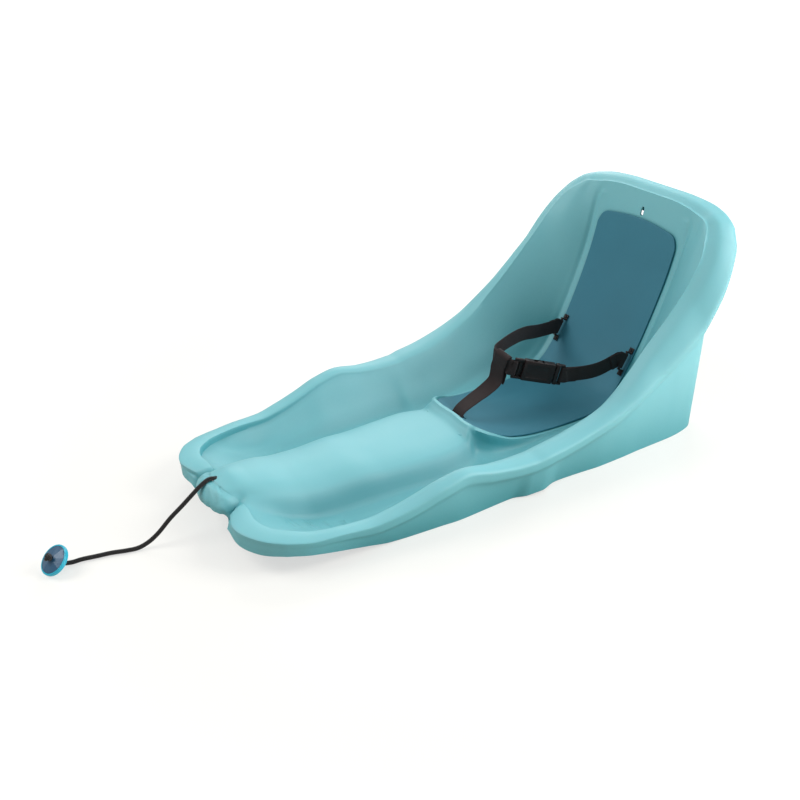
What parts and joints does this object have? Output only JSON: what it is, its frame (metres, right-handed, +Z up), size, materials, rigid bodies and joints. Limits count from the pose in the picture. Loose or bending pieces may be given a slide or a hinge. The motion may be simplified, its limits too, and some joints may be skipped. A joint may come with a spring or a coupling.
{
  "type": "baby pull sled",
  "caption": "Moulded baby sled with leg wells, padded seat liner, three-point belt with side-release buckle, and a tow cord on a spring reel under the ridge.",
  "frame": {"origin": "on the ground under the middle of the hull", "axes": "+Z up, +Y towards the backrest, the nose and the tow cord towards -Y, +X the rider's left"},
  "size_m": [0.4216, 1.0432, 0.352],
  "materials": {
    "hull": "satin moulded polyethylene",
    "liner": "soft satin foam sheet",
    "webbing": "woven webbing",
    "buckle": "fine satin",
    "steel": "zinc plated",
    "cord": "braided",
    "handle_rim": "semi-gloss",
    "handle_face": "semi-gloss",
    "reel": "moulded"
  },
  "bodies": {
    "hull": {"hull_shell": "hull", "seat_liner": "liner", "strap_loop_left": "buckle", "strap_loop_right": "buckle", "backing_plate_left": "buckle", "backing_plate_right": "buckle", "loop_screw_left_lower": "steel", "loop_screw_left_upper": "steel", "loop_screw_right_lower": "steel", "loop_screw_right_upper": "steel", "buckle_socket": "buckle", "waist_strap_right": "webbing", "waist_strap_left": "webbing", "crotch_strap": "webbing", "crotch_strap_bar": "steel", "reel_case": "reel", "reel_lid": "reel", "reel_spindle": "steel", "recoil_spring": "steel", "reel_screw_1": "steel", "reel_screw_2": "steel", "reel_screw_3": "steel", "cord_inner_run": "cord", "pull_cord": "cord"},
    "clip": {"buckle_clip": "buckle"},
    "arm_upper": {"clip_arm_upper": "buckle"},
    "arm_lower": {"clip_arm_lower": "buckle"},
    "drum": {"reel_drum": "reel", "wound_cord": "cord"},
    "handle": {"handle_rim": "handle_rim", "handle_face": "handle_face", "cord_knot": "cord"}
  },
  "joints": [
    {"name": "clip_release", "type": "slide", "parent": "hull", "child": "clip", "axis": [0.4384, 0.8743, -0.2083], "range_m": [0, 0.046], "deforming": ["waist_strap_left", "clip_arm_upper", "clip_arm_lower"]},
    {"name": "upper_arm_press", "type": "hinge", "parent": "clip", "child": "arm_upper", "pos_m": [0.04853, 0.16752, 0.10863], "axis": [0.8939, -0.4482, 0], "range_deg": [0, 7], "stiffness_Nm_per_rad": 0.4},
    {"name": "lower_arm_press", "type": "hinge", "parent": "clip", "child": "arm_lower", "pos_m": [0.04612, 0.16272, 0.08339], "axis": [-0.8939, 0.4482, 0], "range_deg": [0, 7], "stiffness_Nm_per_rad": 0.4},
    {"name": "handle_pull", "type": "slide", "parent": "hull", "child": "handle", "axis": [0, -1, 0], "range_m": [0, 0.7], "stiffness_N_per_m": 6, "deforming": ["pull_cord"]},
    {"name": "drum_turn", "type": "hinge", "parent": "hull", "child": "drum", "pos_m": [0, -0.03411, 0.015], "axis": [0, 0, 1], "range_deg": [0, 1195], "deforming": ["cord_inner_run"]}
  ],
  "couplings": [
    {"joint": "drum_turn", "follows": "handle_pull", "rad_per_m": 29.67}
  ]
}
